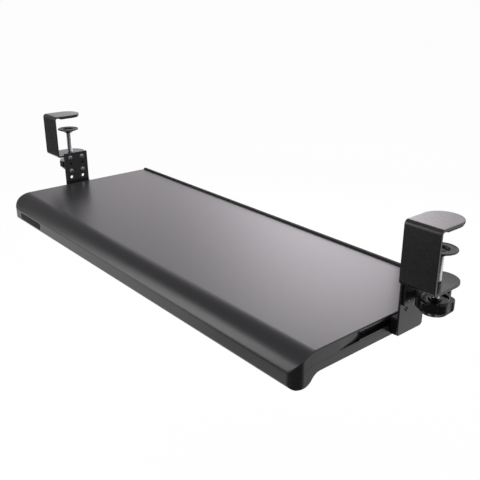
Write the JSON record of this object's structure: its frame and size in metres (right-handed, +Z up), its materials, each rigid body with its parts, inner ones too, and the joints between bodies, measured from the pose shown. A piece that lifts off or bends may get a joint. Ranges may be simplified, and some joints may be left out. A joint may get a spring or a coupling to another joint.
{
  "type": "clamp-on sliding keyboard tray",
  "caption": "Flat moulded tray with a rolled front lip that slides on side rollers under steel arms with screw clamps for a desk edge.",
  "frame": {"origin": "under the middle of the part, level with the lowest point of the tray's front lip", "axes": "+X to the right along the tray's width, +Y from the front lip to the back edge, +Z up"},
  "size_m": [0.761, 0.2525, 0.149],
  "materials": {
    "tray_shell": "semi-gloss black moulding",
    "coated_steel": "satin black powder coat",
    "rubber": "matte",
    "badge": "gloss black",
    "knob": "gloss black",
    "nylon": "matte black",
    "acetal": "turned black acetal",
    "zinc": "bright zinc plate",
    "black_zinc": "black zinc plate",
    "dark_nickel": "dark nickel plate"
  },
  "bodies": {
    "tray": {"tray_top": "tray_shell", "tray_base": "tray_shell", "tray_screws": "zinc", "back_stop": "rubber", "front_badge": "badge", "left_rail": "coated_steel", "left_rail_screws": "black_zinc", "left_rail_stops": "nylon", "right_rail": "coated_steel", "right_rail_screws": "black_zinc", "right_rail_stops": "nylon"},
    "left_bracket": {"left_arm": "coated_steel", "left_arm_screws": "dark_nickel", "left_carriage": "nylon", "left_carriage_screws": "black_zinc", "left_roller_pins": "black_zinc", "left_clamp": "coated_steel", "left_clamp_nut": "coated_steel", "left_jaw_pad": "rubber"},
    "left_front_roller": {"left_front_roller": "acetal"},
    "left_rear_roller": {"left_rear_roller": "acetal"},
    "left_disk": {"left_pressure_disk": "black_zinc"},
    "left_screw": {"left_clamp_screw": "zinc", "left_knob": "knob"},
    "right_bracket": {"right_arm": "coated_steel", "right_arm_screws": "dark_nickel", "right_carriage": "nylon", "right_carriage_screws": "black_zinc", "right_roller_pins": "black_zinc", "right_clamp": "coated_steel", "right_clamp_nut": "coated_steel", "right_jaw_pad": "rubber"},
    "right_front_roller": {"right_front_roller": "acetal"},
    "right_rear_roller": {"right_rear_roller": "acetal"},
    "right_disk": {"right_pressure_disk": "black_zinc"},
    "right_screw": {"right_clamp_screw": "zinc", "right_knob": "knob"}
  },
  "joints": [
    {"name": "left_slide", "type": "slide", "parent": "tray", "child": "left_bracket", "axis": [0, 1, 0], "range_m": [-0.0104, 0.1044]},
    {"name": "left_front_roller_spin", "type": "hinge", "parent": "left_bracket", "child": "left_front_roller", "pos_m": [-0.3223, -0.018, 0.0297], "axis": [1, 0, 0], "continuous": true},
    {"name": "left_rear_roller_spin", "type": "hinge", "parent": "left_bracket", "child": "left_rear_roller", "pos_m": [-0.3223, 0.008, 0.0297], "axis": [1, 0, 0], "continuous": true},
    {"name": "left_jaw", "type": "slide", "parent": "left_bracket", "child": "left_disk", "axis": [0, 0, 1], "range_m": [-0.03251, 0.00376]},
    {"name": "left_screw_turn", "type": "hinge", "parent": "left_disk", "child": "left_screw", "pos_m": [-0.3605, -0.002, 0.06], "axis": [0, 0, 1], "range_deg": [-9360, 1080]},
    {"name": "right_slide", "type": "slide", "parent": "tray", "child": "right_bracket", "axis": [0, 1, 0], "range_m": [-0.0474, 0.0674]},
    {"name": "right_front_roller_spin", "type": "hinge", "parent": "right_bracket", "child": "right_front_roller", "pos_m": [0.3223, 0.019, 0.0297], "axis": [1, 0, 0], "continuous": true},
    {"name": "right_rear_roller_spin", "type": "hinge", "parent": "right_bracket", "child": "right_rear_roller", "pos_m": [0.3223, 0.045, 0.0297], "axis": [1, 0, 0], "continuous": true},
    {"name": "right_jaw", "type": "slide", "parent": "right_bracket", "child": "right_disk", "axis": [0, 0, 1], "range_m": [-0.02688, 0.00938]},
    {"name": "right_screw_turn", "type": "hinge", "parent": "right_disk", "child": "right_screw", "pos_m": [0.3605, 0.035, 0.06], "axis": [0, 0, 1], "range_deg": [-7740, 2700]}
  ],
  "couplings": [
    {"joint": "left_front_roller_spin", "follows": "left_slide", "rad_per_m": 232.56},
    {"joint": "left_rear_roller_spin", "follows": "left_slide", "rad_per_m": 232.56},
    {"joint": "left_jaw", "follows": "left_screw_turn", "m_per_rad": 0.00019894},
    {"joint": "right_front_roller_spin", "follows": "right_slide", "rad_per_m": 232.56},
    {"joint": "right_rear_roller_spin", "follows": "right_slide", "rad_per_m": 232.56},
    {"joint": "right_jaw", "follows": "right_screw_turn", "m_per_rad": 0.00019894}
  ]
}
